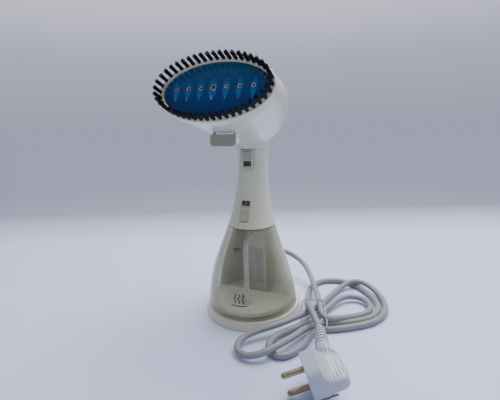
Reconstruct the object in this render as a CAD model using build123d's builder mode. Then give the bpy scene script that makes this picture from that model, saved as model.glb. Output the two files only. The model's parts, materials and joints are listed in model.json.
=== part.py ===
from build123d import *
import math
import os

# Handheld garment steamer. Millimetres, +Z up, front at -Y.
# The origin is the middle of the surface that the base stands on.

# Driving dimensions
WALL = 2.2            # moulded shells
GAP = 0.4             # running gap between pieces that move apart
SPLIT_Y = 7.8         # parting plane between the front and the rear of the handle
DECK_Z = 8.7          # top of the base ring, which carries the tank
TANK_TOP_Z = 103.0    # seam between the tank and the handle
NECK_TOP_Z = 188.0    # seam between the handle and the head
FACE_TILT = 24.0      # the steam face looks up by this angle
FACE_Y = -75.5
FACE_Z = 245.0
PLATE_A = 52.0        # half width and half height of the steam plate
PLATE_B = 25.5
BRUSH_RIM = 5.6       # radial width of the brush ring
TUFTS = 44
TUFT_LENGTH = 10.0
CORD_D = 6.6

# Handle and tank body: height, half width, half depth, centre in y
BODY_SECTIONS = [
    (8.0, 51.9, 54.4, -0.6),
    (20.0, 50.8, 52.0, -3.0),
    (45.0, 46.3, 47.0, -5.0),
    (70.0, 38.6, 39.4, -5.0),
    (92.0, 30.5, 31.0, -2.8),
    (110.0, 25.0, 24.2, 0.3),
    (135.0, 20.2, 18.8, 3.6),
    (165.0, 17.3, 16.8, 7.0),
    (185.0, 17.9, 17.2, 8.4),
    (206.0, 20.5, 20.0, 9.0),
]

# Head: centre y, centre z, tilt, half width, half height
HEAD_SECTIONS = [
    (-70.5, 242.8, FACE_TILT, 57.4, 30.9),
    (-52.0, 239.4, 20.0, 56.6, 33.0),
    (-28.0, 234.8, 12.0, 52.0, 36.2),
    (-4.0, 231.2, 4.0, 44.8, 38.4),
    (16.0, 229.5, 0.0, 36.4, 35.4),
    (31.0, 229.0, 0.0, 25.0, 25.6),
    (38.5, 228.8, 0.0, 12.0, 12.6),
]


def tilted_plane(y, z, tilt):
    """Plane across the head whose normal looks to the front and up."""
    angle = math.radians(tilt)
    normal = (0, -math.cos(angle), math.sin(angle))
    return Plane(origin=(0, y, z), x_dir=(1, 0, 0), z_dir=normal)


FACE = tilted_plane(FACE_Y, FACE_Z, FACE_TILT)


def body_loft(inset):
    """Solid of the handle and tank body, made smaller all round by inset."""
    with BuildPart() as solid:
        for z, half_width, half_depth, y in BODY_SECTIONS:
            with BuildSketch(Plane.XY.offset(z)):
                with Locations((0, y)):
                    Ellipse(half_width - inset, half_depth - inset)
        loft()
    return solid.part


def head_loft(inset):
    """Solid of the head, made smaller all round by inset."""
    with BuildPart() as solid:
        for y, z, tilt, half_width, half_height in reversed(HEAD_SECTIONS):
            with BuildSketch(tilted_plane(y, z, tilt)):
                Ellipse(half_width - inset, half_height - inset)
        loft()
    return solid.part


def slab(x_range, y_range, z_range):
    """Plain box between two values on each axis."""
    size = [high - low for low, high in (x_range, y_range, z_range)]
    middle = [(high + low) / 2 for low, high in (x_range, y_range, z_range)]
    with BuildPart() as block:
        with Locations(tuple(middle)):
            Box(*size)
    return block.part


def face_disc(a, b, low, high):
    """Elliptical disc on the steam face, from low to high along its normal."""
    with BuildPart() as disc:
        with BuildSketch(FACE.offset(low)):
            Ellipse(a, b)
        extrude(amount=high - low)
    return disc.part


def rod(start, end, radius):
    """Round bar from one point to another."""
    axis = Vector(*end) - Vector(*start)
    with BuildPart() as bar:
        with BuildSketch(Plane(origin=start, z_dir=axis)):
            Circle(radius)
        extrude(amount=axis.length)
    return bar.part


def route_radii(points, name):
    """Largest bend radius that the two runs beside each corner allow."""
    runs = [Vector(*points[i + 1]) - Vector(*points[i]) for i in range(len(points) - 1)]
    radii = []
    for before, after in zip(runs, runs[1:]):
        half_turn = math.radians(before.get_angle(after)) / 2
        radii.append(0.45 * min(before.length, after.length) / math.tan(half_turn))
    print(name, "radii", [round(radius, 1) for radius in radii])
    return radii


def tube(points, diameter, name):
    """Round tube along straight runs joined by tangent arcs."""
    radii = route_radii(points, name)
    first_run = Vector(*points[1]) - Vector(*points[0])
    with BuildPart() as hose:
        with BuildLine() as path:
            FilletPolyline(*points, radius=radii)
        with BuildSketch(Plane(origin=points[0], z_dir=first_run)):
            Circle(diameter / 2)
        sweep()
    length = path.wires()[0].length
    section = math.pi * diameter ** 2 / 4
    print(name, "length", round(length, 1), "volume ratio", round(hose.part.volume / section / length, 3))
    return hose.part


FAR = 400.0
EVERYWHERE = (-FAR, FAR)
body_outer = body_loft(0)
body_inner = body_loft(WALL)
head_outer = head_loft(0)
head_inner = head_loft(WALL)


def save(node, name):
    """Label a finished piece and write it under its own name."""
    node.part.label = name
    export_step(node.part, f"parts/{name}.step")


os.makedirs("parts", exist_ok=True)

# ---------------------------------------------------------------- base
RING_FOOT_Z = 0.6
RING_BOTTOM = (56.2, 59.6)
RING_TOP = (53.8, 56.8)
RING_WALL = 3.4
SCREW_GRID = 62.0
FEET_RADIUS = 44.0

with BuildPart() as base_ring:
    with BuildSketch(Plane.XY.offset(RING_FOOT_Z)):
        Ellipse(*RING_BOTTOM)
    with BuildSketch(Plane.XY.offset(DECK_Z)):
        Ellipse(*RING_TOP)
    loft()
    fillet(base_ring.faces().sort_by(Axis.Z)[-1].edges(), 0.8)
    with BuildSketch(Plane.XY.offset(RING_FOOT_Z)):
        Ellipse(RING_BOTTOM[0] - RING_WALL, RING_BOTTOM[1] - RING_WALL)
    extrude(amount=DECK_Z - RING_FOOT_Z - 2.0, mode=Mode.SUBTRACT)
    with BuildSketch(Plane.XY.offset(3.3)):
        with GridLocations(SCREW_GRID, SCREW_GRID, 2, 2):
            Circle(3.5)
    extrude(amount=4.0)
    with BuildSketch(Plane.XY.offset(3.3)):
        with GridLocations(SCREW_GRID, SCREW_GRID, 2, 2):
            Circle(1.2)
    extrude(amount=3.4, mode=Mode.SUBTRACT)
save(base_ring, "base_ring")

with BuildPart() as base_plate:
    with BuildSketch(Plane.XY.offset(1.0)):
        Ellipse(RING_BOTTOM[0] - RING_WALL - 0.3, RING_BOTTOM[1] - RING_WALL - 0.3)
    extrude(amount=2.2)
    with Locations((0, 0, 1.0)):
        with GridLocations(SCREW_GRID, SCREW_GRID, 2, 2):
            Cylinder(1.4, 2.2, align=(Align.CENTER, Align.CENTER, Align.MIN), mode=Mode.SUBTRACT)
            Cylinder(2.5, 1.1, align=(Align.CENTER, Align.CENTER, Align.MIN), mode=Mode.SUBTRACT)
save(base_plate, "base_plate")

with BuildPart() as base_screws:
    with BuildSketch(Plane.XY.offset(1.2)):
        with GridLocations(SCREW_GRID, SCREW_GRID, 2, 2):
            Circle(2.3)
    extrude(amount=0.9)
    with BuildSketch(Plane.XY.offset(1.2)):
        with GridLocations(SCREW_GRID, SCREW_GRID, 2, 2):
            Circle(1.15)
    extrude(amount=5.0)
save(base_screws, "base_screws")

with BuildPart() as rubber_feet:
    with BuildSketch(Plane.XY):
        with PolarLocations(FEET_RADIUS, 4):
            Circle(6.0)
        Circle(12.0)
    extrude(amount=1.0)
    chamfer(rubber_feet.faces().group_by(Axis.Z)[0].edges(), 0.3)
save(rubber_feet, "rubber_feet")

# ---------------------------------------------------------------- handle shells
SCREW_HEIGHTS = (106.0, 144.0, 184.0)
GLAND_Z = 46.0
GLAND_R = 5.2
BOSS_Y = 14.0


def screw_circles(radius):
    """One circle at each screw height of the handle."""
    for z in SCREW_HEIGHTS:
        with Locations((0, z)):
            Circle(radius)


with BuildPart() as rear_shell:
    add(body_outer)
    add(body_inner, mode=Mode.SUBTRACT)
    with BuildSketch(Plane.XZ.offset(-BOSS_Y)):
        screw_circles(3.9)
    extrude(amount=-20.0)
    add(body_outer, mode=Mode.INTERSECT)
    add(slab(EVERYWHERE, (SPLIT_Y, FAR), (DECK_Z, NECK_TOP_Z)), mode=Mode.INTERSECT)
    # recesses for the screw heads, and the holes for their shanks
    with BuildSketch(Plane.XZ.offset(-BOSS_Y - 3.0)):
        screw_circles(3.0)
    extrude(amount=-20.0, mode=Mode.SUBTRACT)
    with BuildSketch(Plane.XZ.offset(-BOSS_Y)):
        screw_circles(1.6)
    extrude(amount=-10.0, mode=Mode.SUBTRACT)
    # opening for the cord gland
    with BuildSketch(Plane.XZ.offset(-30.0)):
        with Locations((0, GLAND_Z)):
            Circle(GLAND_R + 0.1)
    extrude(amount=-30.0, mode=Mode.SUBTRACT)
save(rear_shell, "rear_shell")

with BuildPart() as shell_screws:
    with BuildSketch(Plane.XZ.offset(-BOSS_Y - 3.1)):
        screw_circles(2.8)
    extrude(amount=-1.8)
    with BuildSketch(Plane.XZ.offset(-BOSS_Y - 3.1)):
        screw_circles(1.4)
    extrude(amount=8.0)
save(shell_screws, "shell_screws")

SWITCH_LOW = 165.8
SWITCH_HIGH = 187.6
SWITCH_HALF = 7.4
RELEASE = Plane(origin=(0, -19.8, 121.5), x_dir=(1, 0, 0), z_dir=(0, -0.944, 0.329))

with BuildPart() as front_cover:
    add(body_outer)
    add(body_inner, mode=Mode.SUBTRACT)
    add(slab(EVERYWHERE, (-FAR, SPLIT_Y - 0.1), (TANK_TOP_Z + GAP, NECK_TOP_Z)), mode=Mode.INTERSECT)
    # window for the switch frame, open towards the head
    with BuildSketch(Plane.XZ.offset(3.0)):
        with Locations((0, SWITCH_LOW + 14.9)):
            RectangleRounded(2 * SWITCH_HALF + 0.2, 30.0, 5.0)
    extrude(amount=12.0, mode=Mode.SUBTRACT)
    # window for the tank release slider
    with BuildSketch(RELEASE.offset(-5.0)):
        RectangleRounded(10.4, 24.0, 1.2)
    extrude(amount=12.0, mode=Mode.SUBTRACT)
save(front_cover, "front_cover")

# ---------------------------------------------------------------- switches
SLIDER_HALF = 4.3
SWITCH_FACE_Y = 9.7       # distance of the frame's face in front of the origin

with BuildPart() as switch_frame:
    with BuildSketch(Plane.XZ.offset(SWITCH_FACE_Y - 3.6)):
        with Locations((0, SWITCH_LOW + 14.9)):
            RectangleRounded(2 * SWITCH_HALF, 29.8, 4.9)
        with Locations((0, SWITCH_HIGH + 10.0)):
            Rectangle(40.0, 20.0, mode=Mode.SUBTRACT)
        with Locations((0, (SWITCH_LOW + 4.0 + SWITCH_HIGH - 1.0) / 2)):
            Rectangle(2 * SLIDER_HALF + 0.6, SWITCH_HIGH - SWITCH_LOW - 5.0, mode=Mode.SUBTRACT)
    extrude(amount=3.6)
save(switch_frame, "switch_frame")

with BuildPart() as power_switch:
    with BuildSketch(Plane.XZ.offset(SWITCH_FACE_Y - 3.2)):
        with Locations((0, 180.9)):
            Rectangle(2 * SLIDER_HALF, 10.4)
    extrude(amount=3.0)
    # grip ridges
    with BuildSketch(Plane.XZ.offset(SWITCH_FACE_Y - 0.2)):
        with Locations((0, 180.9)):
            with GridLocations(1, 2.0, 1, 5):
                Rectangle(2 * SLIDER_HALF - 1.4, 0.9)
    extrude(amount=0.8)
save(power_switch, "power_switch")

with BuildPart() as switch_body:
    with Locations((0, -0.4, 177.0)):
        Box(11.0, 9.0, 18.0)
    with Locations((-3.0, 5.6, 170.0), (3.0, 5.6, 170.0)):
        Box(0.8, 3.0, 4.8)
save(switch_body, "switch_body")

with BuildPart() as tank_release:
    with BuildSketch(RELEASE.offset(-2.8)):
        with Locations((0, -2.4)):
            Rectangle(9.8, 18.0)
    extrude(amount=1.8)
    with BuildSketch(RELEASE.offset(-1.0)):
        with Locations((0, 2.2)):
            Rectangle(9.8, 5.0)
    extrude(amount=2.2)
save(tank_release, "tank_release")

with BuildPart() as release_guide:
    with BuildSketch(RELEASE.offset(-5.2)):
        Rectangle(16.0, 28.0)
    extrude(amount=1.6)
    add(body_loft(WALL + 0.3), mode=Mode.INTERSECT)
    add(slab(EVERYWHERE, EVERYWHERE, (TANK_TOP_Z + 2.0, 150.0)), mode=Mode.INTERSECT)
save(release_guide, "release_guide")

with BuildPart() as release_spring:
    with BuildLine():
        Helix(pitch=1.15, height=4.4, radius=1.1)
    with BuildSketch(Plane(origin=(1.1, 0, 0), z_dir=(0, 1, 0))):
        Circle(0.22)
    sweep(is_frenet=True)
spring_end = RELEASE.offset(-2.0).from_local_coords((0, 7.0, 0))
spring_place = Location(Plane(spring_end, x_dir=(1, 0, 0), z_dir=RELEASE.y_dir))
release_spring.part = release_spring.part.moved(spring_place)
save(release_spring, "release_spring")

# ---------------------------------------------------------------- tank
TANK_Z = DECK_Z + 0.3
TANK_WALL = 1.9
NOTCH_HALF = 13.2         # channel at the back of the tank, round the cable duct
NOTCH_Y = 10.8
TANK_PORT_Y = 1.5         # the pump stands on the same axis
TUBE_Y = -20.0


def tank_form(inset, low, high):
    """The tank's outside, or its inside when inset is the wall thickness."""
    with BuildPart() as form:
        add(body_loft(inset))
        add(slab(EVERYWHERE, (-FAR, SPLIT_Y - GAP - inset), EVERYWHERE), mode=Mode.INTERSECT)
        add(body_loft(WALL + 0.5 + inset))
        add(slab(EVERYWHERE, EVERYWHERE, (low, high)), mode=Mode.INTERSECT)
        notch = NOTCH_HALF + inset
        add(slab((-notch, notch), (NOTCH_Y - inset, FAR), EVERYWHERE), mode=Mode.SUBTRACT)
    return form.part


with BuildPart() as water_tank:
    add(tank_form(0.0, TANK_Z, TANK_TOP_Z))
    add(tank_form(TANK_WALL, TANK_Z + 2.4, TANK_TOP_Z - 2.0), mode=Mode.SUBTRACT)
    # outlet port and filling hole in the top
    with BuildSketch(Plane.XY.offset(TANK_TOP_Z - 3.0)):
        with Locations((0, TANK_PORT_Y)):
            Circle(5.0)
        with Locations((14.0, -4.0)):
            Circle(5.0)
    extrude(amount=4.0, mode=Mode.SUBTRACT)
save(water_tank, "water_tank")

with BuildPart() as tank_valve:
    with BuildSketch(Plane.XY.offset(TANK_TOP_Z - 6.0)):
        with Locations((0, TANK_PORT_Y)):
            Circle(4.9)
            Circle(1.6, mode=Mode.SUBTRACT)
    extrude(amount=6.0)
save(tank_valve, "tank_valve")

with BuildPart() as filler_plug:
    with BuildSketch(Plane.XY.offset(TANK_TOP_Z - 3.5)):
        with Locations((14.0, -4.0)):
            Circle(4.9)
    extrude(amount=3.5)
save(filler_plug, "filler_plug")

TUBE_TOP_Z = TANK_TOP_Z - 6.0
FILTER_Z = (TANK_Z + 2.7, TANK_Z + 12.0)
with BuildPart() as suction_tube:
    with BuildLine() as suction_path:
        FilletPolyline(
            (0, TANK_PORT_Y, TUBE_TOP_Z),
            (0, TANK_PORT_Y, TUBE_TOP_Z - 6.0),
            (0, TUBE_Y, TUBE_TOP_Z - 14.0),
            (0, TUBE_Y, FILTER_Z[1]),
            radius=5.0,
        )
    with BuildSketch(Plane.XY.offset(TUBE_TOP_Z)):
        with Locations((0, TANK_PORT_Y)):
            Circle(2.7)
            Circle(1.5, mode=Mode.SUBTRACT)
    sweep()
save(suction_tube, "suction_tube")

with BuildPart() as suction_filter:
    with BuildSketch(Plane.XY.offset(FILTER_Z[0])):
        with Locations((0, TUBE_Y)):
            Circle(6.6)
    extrude(amount=FILTER_Z[1] - FILTER_Z[0])
    fillet(suction_filter.faces().sort_by(Axis.Z)[-1].edges(), 1.5)
    with BuildSketch(Plane.XY.offset(FILTER_Z[0])):
        with Locations((0, TUBE_Y)):
            with PolarLocations(4.2, 6):
                Circle(1.0)
    extrude(amount=5.0, mode=Mode.SUBTRACT)
save(suction_filter, "suction_filter")

# ---------------------------------------------------------------- cable duct, label, gland
DUCT_HALF = 11.4
DUCT_Y = 12.2

with BuildPart() as cable_duct:
    add(slab((-DUCT_HALF, DUCT_HALF), (DUCT_Y, 60.0), (DECK_Z, TANK_TOP_Z + 1.0)))
    add(slab((-DUCT_HALF + 1.6, DUCT_HALF - 1.6), (DUCT_Y + 1.6, 60.0), (DECK_Z, FAR)), mode=Mode.SUBTRACT)
    add(body_inner, mode=Mode.INTERSECT)
save(cable_duct, "cable_duct")

with BuildPart() as rating_label:
    with BuildSketch(Plane.XZ.offset(-DUCT_Y)):
        with Locations((-1.0, 45.0)):
            RectangleRounded(19.0, 46.0, 1.2)
    extrude(amount=0.3)
save(rating_label, "rating_label")

GLAND_BACK_Y = 42.4
RELIEF_END_Y = 57.0
with BuildPart() as cord_gland:
    with BuildSketch(Plane.XZ.offset(-34.0)):
        with Locations((0, GLAND_Z)):
            Circle(7.0)
    extrude(amount=-2.6)
    with BuildSketch(Plane.XZ.offset(-34.0)):
        with Locations((0, GLAND_Z)):
            Circle(GLAND_R)
    extrude(amount=-(GLAND_BACK_Y - 34.0))
    with BuildSketch(Plane.XZ.offset(-GLAND_BACK_Y)):
        with Locations((0, GLAND_Z)):
            Circle(GLAND_R)
    with BuildSketch(Plane.XZ.offset(-RELIEF_END_Y)):
        with Locations((0, GLAND_Z)):
            Circle(CORD_D / 2 + 0.6)
    loft()
save(cord_gland, "cord_gland")

with BuildPart() as terminal_block:
    with Locations((0, 22.0, 66.0)):
        Box(14.0, 8.0, 14.0)
    with Locations((-3.5, 17.4, 66.0), (3.5, 17.4, 66.0)):
        Cylinder(1.8, 1.6, rotation=(90, 0, 0))
save(terminal_block, "terminal_block")

# ---------------------------------------------------------------- pump
PUMP_Y = TANK_PORT_Y
PUMP_LOW = 113.0
PUMP_HIGH = 140.0

with BuildPart() as pump_body:
    with BuildSketch(Plane.XY.offset(PUMP_LOW)):
        with Locations((0, PUMP_Y)):
            Circle(5.6)
    extrude(amount=PUMP_HIGH - PUMP_LOW)
    with BuildSketch(Plane.XY.offset(PUMP_LOW + 8.0)):
        with Locations((0, PUMP_Y)):
            Circle(3.3)
    extrude(amount=PUMP_HIGH - PUMP_LOW, mode=Mode.SUBTRACT)
    with BuildSketch(Plane.XY.offset(PUMP_LOW)):
        with Locations((-8.0, PUMP_Y)):
            Rectangle(8.0, 5.0)
    extrude(amount=3.0)
    with BuildSketch(Plane.XY.offset(PUMP_LOW - 5.0)):
        with Locations((0, PUMP_Y)):
            Circle(2.2)
    extrude(amount=5.0)
save(pump_body, "pump_body")

with BuildPart() as pump_coil:
    with BuildSketch(Plane.XY.offset(PUMP_LOW + 5.0)):
        with Locations((0, PUMP_Y)):
            Circle(8.6)
            Circle(5.8, mode=Mode.SUBTRACT)
    extrude(amount=19.0)
save(pump_coil, "pump_coil")

with BuildPart() as pump_piston:
    with BuildSketch(Plane.XY.offset(PUMP_LOW + 9.0)):
        with Locations((0, PUMP_Y)):
            Circle(3.1)
    extrude(amount=6.0)
    with BuildSketch(Plane.XY.offset(PUMP_LOW + 15.0)):
        with Locations((0, PUMP_Y)):
            Circle(1.0)
    extrude(amount=PUMP_HIGH - PUMP_LOW - 13.0)
save(pump_piston, "pump_piston")

with BuildPart() as pump_cap:
    with BuildSketch(Plane.XY.offset(PUMP_HIGH)):
        with Locations((0, PUMP_Y)):
            Circle(5.6)
            Circle(1.3, mode=Mode.SUBTRACT)
    extrude(amount=1.6)
save(pump_cap, "pump_cap")


def coil_spring(height, radius, wire, turns, place):
    """Helical spring that stands on a plane."""
    with BuildPart() as spring:
        with BuildLine():
            Helix(pitch=height / turns, height=height, radius=radius)
        with BuildSketch(Plane(origin=(radius, 0, 0), z_dir=(0, 1, 0))):
            Circle(wire)
        sweep(is_frenet=True)
    return spring.part.moved(Location(place))


with BuildPart() as pump_spring:
    add(coil_spring(11.0, 2.2, 0.3, 7, Plane(origin=(0, PUMP_Y, PUMP_LOW + 15.5))))
save(pump_spring, "pump_spring")

with BuildPart() as inlet_seal:
    with BuildSketch(Plane.XY.offset(TANK_TOP_Z + GAP)):
        with Locations((0, TANK_PORT_Y)):
            Circle(5.4)
            Circle(2.3, mode=Mode.SUBTRACT)
    extrude(amount=1.6)
    with BuildSketch(Plane.XY.offset(TANK_TOP_Z + 2.0)):
        with Locations((0, TANK_PORT_Y)):
            Circle(3.8)
            Circle(2.3, mode=Mode.SUBTRACT)
    extrude(amount=PUMP_LOW - TANK_TOP_Z - 2.0)
save(inlet_seal, "inlet_seal")

# ---------------------------------------------------------------- control board and wires
with BuildPart() as control_board:
    with Locations((0, 16.6, 164.0)):
        Box(17.0, 1.6, 28.0)
    with Locations((-3.5, 14.0, 171.0)):
        Box(7.0, 3.6, 9.0)
    with Locations((4.0, 13.4, 158.0)):
        Cylinder(2.6, 4.8, rotation=(90, 0, 0))
save(control_board, "control_board")

with BuildPart() as supply_wires:
    for side in (-1, 1):
        add(tube([(side * 4, 24, 73.3), (side * 4, 23, 88), (side * 5.2, 19.5, 106), (side * 6.2, 17.0, 122),
                  (side * 6.4, 16.8, 138), (side * 6.0, 16.6, 149.6)], 2.2, "supply wire"))
save(supply_wires, "supply_wires")

# ---------------------------------------------------------------- head shells
COLLAR_Z = NECK_TOP_Z + 0.3
HEAD_BACK_Y = 38.5

head_cavity = head_inner & slab(EVERYWHERE, (-FAR, HEAD_BACK_Y - WALL), EVERYWHERE)
collar = body_outer & slab(EVERYWHERE, EVERYWHERE, (COLLAR_Z, 205.0))
collar_cavity = body_inner & slab(EVERYWHERE, EVERYWHERE, (COLLAR_Z - 1.0, 205.0))

with BuildPart() as head_shell:
    add(head_outer)
    add(collar)
    add(head_cavity, mode=Mode.SUBTRACT)
    add(collar_cavity, mode=Mode.SUBTRACT)

with BuildPart() as head_front_shell:
    add(head_shell.part)
    add(slab(EVERYWHERE, (-FAR, SPLIT_Y - 0.1), EVERYWHERE), mode=Mode.INTERSECT)
save(head_front_shell, "head_front_shell")

with BuildPart() as head_rear_shell:
    add(head_shell.part)
    add(slab(EVERYWHERE, (SPLIT_Y, FAR), EVERYWHERE), mode=Mode.INTERSECT)
save(head_rear_shell, "head_rear_shell")

# ---------------------------------------------------------------- steam face
NOZZLES = 7
NOZZLE_PITCH = 12.6
NOZZLE_V = 1.2
DOME = 3.6                # height of the plate's middle above its edge


def nozzle_circles(radius, middle_radius):
    """A row of circles across the face, the middle one larger."""
    for i in range(NOZZLES):
        x = (i - NOZZLES // 2) * NOZZLE_PITCH
        with Locations((x, NOZZLE_V)):
            Circle(middle_radius if x == 0 else radius)


with BuildPart() as steam_plate:
    with BuildSketch(FACE.offset(-1.6)):
        Ellipse(PLATE_A - 0.3, PLATE_B - 0.3)
    extrude(amount=2.2)
    for share, rise in ((0.93, 0.55), (0.78, 0.8), (0.55, 0.95)):
        with BuildSketch(FACE.offset(0.6)):
            Ellipse(PLATE_A * share, PLATE_B * share)
        extrude(amount=(DOME - 0.6) * rise)
    with BuildSketch(FACE.offset(-1.6)):
        nozzle_circles(2.1, 3.1)
    extrude(amount=10.0, mode=Mode.SUBTRACT)
save(steam_plate, "steam_plate")

with BuildPart() as nozzle_eyelets:
    with BuildSketch(FACE.offset(-1.6)):
        nozzle_circles(2.0, 3.0)
    extrude(amount=DOME + 2.0)
    with BuildSketch(FACE.offset(-1.6)):
        nozzle_circles(1.1, 1.9)
    extrude(amount=10.0, mode=Mode.SUBTRACT)
save(nozzle_eyelets, "nozzle_eyelets")

with BuildPart() as plate_gasket:
    with BuildSketch(FACE.offset(-3.4)):
        Ellipse(PLATE_A - 0.5, PLATE_B - 0.5)
        Ellipse(PLATE_A - 4.5, PLATE_B - 4.5, mode=Mode.SUBTRACT)
    extrude(amount=1.8)
save(plate_gasket, "plate_gasket")

with BuildPart() as boiler:
    with BuildSketch(FACE.offset(-14.0)):
        Ellipse(PLATE_A - 5.0, PLATE_B - 5.0)
    extrude(amount=12.2)
    # steam chamber behind the nozzles
    with BuildSketch(FACE.offset(-8.0)):
        SlotOverall(86.0, 14.0)
    extrude(amount=10.0, mode=Mode.SUBTRACT)
save(boiler, "boiler")

with BuildPart() as boiler_cover:
    add(face_disc(PLATE_A - 6.5, PLATE_B - 6.5, -16.6, -14.0))
    with BuildSketch(FACE.offset(-22.0)):
        with Locations((-20.0, 0)):
            Circle(2.6)
    extrude(amount=6.0)
save(boiler_cover, "boiler_cover")

with BuildPart() as heating_element:
    with BuildLine(FACE.offset(-19.9)):
        FilletPolyline((28, -12), (-32, -12), (-32, 12), (28, 12), radius=9.0)
    with BuildSketch(Plane(origin=FACE.offset(-19.9).from_local_coords((28, -12, 0)), z_dir=(1, 0, 0))):
        Circle(3.1)
    sweep()
save(heating_element, "heating_element")

with BuildPart() as thermostat:
    with BuildSketch(FACE.offset(-23.6)):
        Circle(6.4)
    extrude(amount=6.8)
    with BuildSketch(FACE.offset(-25.0)):
        with Locations((-3, 0), (3, 0)):
            Rectangle(0.8, 4.0)
    extrude(amount=1.4)
save(thermostat, "thermostat")

with BuildPart() as thermal_fuse:
    with BuildSketch(Plane(origin=FACE.offset(-18.8).from_local_coords((12, 0, 0)), z_dir=(1, 0, 0))):
        Circle(2.0)
    extrude(amount=13.0)
save(thermal_fuse, "thermal_fuse")

with BuildPart() as boiler_screws:
    with BuildSketch(FACE.offset(-18.6)):
        with Locations((-38, 0), (38, 0)):
            Circle(2.6)
    extrude(amount=1.9)
save(boiler_screws, "boiler_screws")

with BuildPart() as heat_shield:
    with BuildSketch(FACE.offset(-28.0)):
        Ellipse(PLATE_A - 5.0, PLATE_B - 1.0)
        with Locations((-20.0, 0)):
            Circle(4.2, mode=Mode.SUBTRACT)
        with Locations((20.0, 0)):
            Circle(4.2, mode=Mode.SUBTRACT)
    extrude(amount=0.8)
save(heat_shield, "heat_shield")

with BuildPart() as outlet_hose:
    hose_end = FACE.offset(-22.2).from_local_coords((-20.0, 0, 0))
    hose_turn = FACE.offset(-38.0).from_local_coords((-20.0, 0, 0))
    add(tube([(-9.5, 1.5, PUMP_LOW + 3.4), (-11.0, 2.5, 132), (-11.2, 6.5, 152), (-11.2, 8.5, 176), (-11.6, 4.5, 196),
              (-15.0, -16.0, 216), hose_turn, hose_end], 4.4, "outlet hose"))
save(outlet_hose, "outlet_hose")

with BuildPart() as heater_wires:
    wire_end = FACE.offset(-24.0).from_local_coords((20.0, 0, 0))
    wire_turn = FACE.offset(-38.0).from_local_coords((20.0, 0, 0))
    add(tube([(6, 16.6, 178.6), (6.4, 15.6, 188), (8, 8, 204), (13, -14, 219), wire_turn, wire_end], 2.4, "heater wires"))
save(heater_wires, "heater_wires")

# ---------------------------------------------------------------- brush
BRUSH_BACK = -5.0
BRUSH_FRONT = 2.8
with BuildPart() as brush_ring:
    with BuildSketch(FACE.offset(BRUSH_BACK)):
        Ellipse(PLATE_A + BRUSH_RIM, PLATE_B + BRUSH_RIM)
        Ellipse(PLATE_A + 0.4, PLATE_B + 0.4, mode=Mode.SUBTRACT)
    extrude(amount=BRUSH_FRONT - BRUSH_BACK)
    fillet(brush_ring.faces().sort_by(Axis(FACE.origin, FACE.z_dir))[-1].edges(), 1.2)
save(brush_ring, "brush_ring")

TUFT_A = PLATE_A + BRUSH_RIM / 2 + 0.2
TUFT_B = PLATE_B + BRUSH_RIM / 2 + 0.2
with BuildPart() as bristle_tufts:
    with BuildSketch(FACE.offset(BRUSH_FRONT)):
        for place in Ellipse(TUFT_A, TUFT_B, mode=Mode.PRIVATE).edge().distribute_locations(TUFTS + 1)[:-1]:
            spot = place.position
            with Locations((spot.X, spot.Y)):
                Circle(1.25)
    extrude(amount=TUFT_LENGTH)
save(bristle_tufts, "bristle_tufts")

TAB_Y = -62.5
TAB_PIN_Z = 204.9
with BuildPart() as tab_bracket:
    with Locations((-11.0, TAB_Y + 3.1, 207.75), (11.0, TAB_Y + 3.1, 207.75)):
        Box(2.0, 4.0, 9.5)
    add(head_outer, mode=Mode.SUBTRACT)
    with BuildSketch(Plane.YZ.offset(-20.0)):
        with Locations((TAB_Y + 2.6, TAB_PIN_Z)):
            Circle(0.8)
    extrude(amount=40.0, mode=Mode.SUBTRACT)
save(tab_bracket, "tab_bracket")

with BuildPart() as tab_pin:
    add(rod((-12.0, TAB_Y + 2.6, TAB_PIN_Z), (12.0, TAB_Y + 2.6, TAB_PIN_Z), 0.8))
save(tab_pin, "tab_pin")

with BuildPart() as release_tab:
    with BuildSketch(Plane.XZ.offset(-TAB_Y)):
        with Locations((0, 200.95)):
            RectangleRounded(26.0, 10.7, 3.6)
        with Locations((0, 204.2)):
            Rectangle(26.0, 4.2)
    extrude(amount=2.4)
    with BuildSketch(Plane.YZ.offset(-9.6)):
        with Locations((TAB_Y + 2.6, TAB_PIN_Z)):
            Circle(1.6)
        with Locations((TAB_Y + 1.0, TAB_PIN_Z)):
            Rectangle(3.0, 2.4)
    extrude(amount=19.2)
    with BuildSketch(Plane.YZ.offset(-20.0)):
        with Locations((TAB_Y + 2.6, TAB_PIN_Z)):
            Circle(0.85)
    extrude(amount=40.0, mode=Mode.SUBTRACT)
save(release_tab, "release_tab")

# ---------------------------------------------------------------- plug
PLUG_FACE = Plane(origin=(95.8, -120.8, 18.0), x_dir=(-0.498, 0.861, 0.100), z_dir=(-0.843, -0.454, -0.288))
PLUG_R = 18.2
PLUG_RIM = 11.0       # straight part of the plug behind its face
PLUG_DEPTH = 31.0
SPINE_DEPTH = 22.0    # middle of the grip spine behind the face
SPINE_BACK = -15.0
SPINE_END = 27.0
PIN_PITCH = 19.0
PIN_R = 2.4
PIN_LENGTH = 19.0
RELIEF_END = Vector(92.0, -56.0, 21.5)

spine_start = PLUG_FACE.from_local_coords((SPINE_BACK, 0, -SPINE_DEPTH))
PLUG_NECK = PLUG_FACE.from_local_coords((SPINE_END, 0, -SPINE_DEPTH))
with BuildPart() as plug_body:
    with BuildSketch(PLUG_FACE):
        Circle(PLUG_R)
    extrude(amount=-PLUG_RIM)
    with BuildSketch(PLUG_FACE.offset(-PLUG_RIM)):
        Circle(PLUG_R)
    with BuildSketch(PLUG_FACE.offset(-PLUG_DEPTH)):
        Ellipse(12.5, 8.5)
    loft()
    with BuildSketch(Plane(origin=spine_start, x_dir=PLUG_FACE.y_dir, z_dir=PLUG_FACE.x_dir)):
        RectangleRounded(16.0, 17.0, 5.0)
    extrude(amount=SPINE_END - SPINE_BACK)
save(plug_body, "plug_body")

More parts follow.
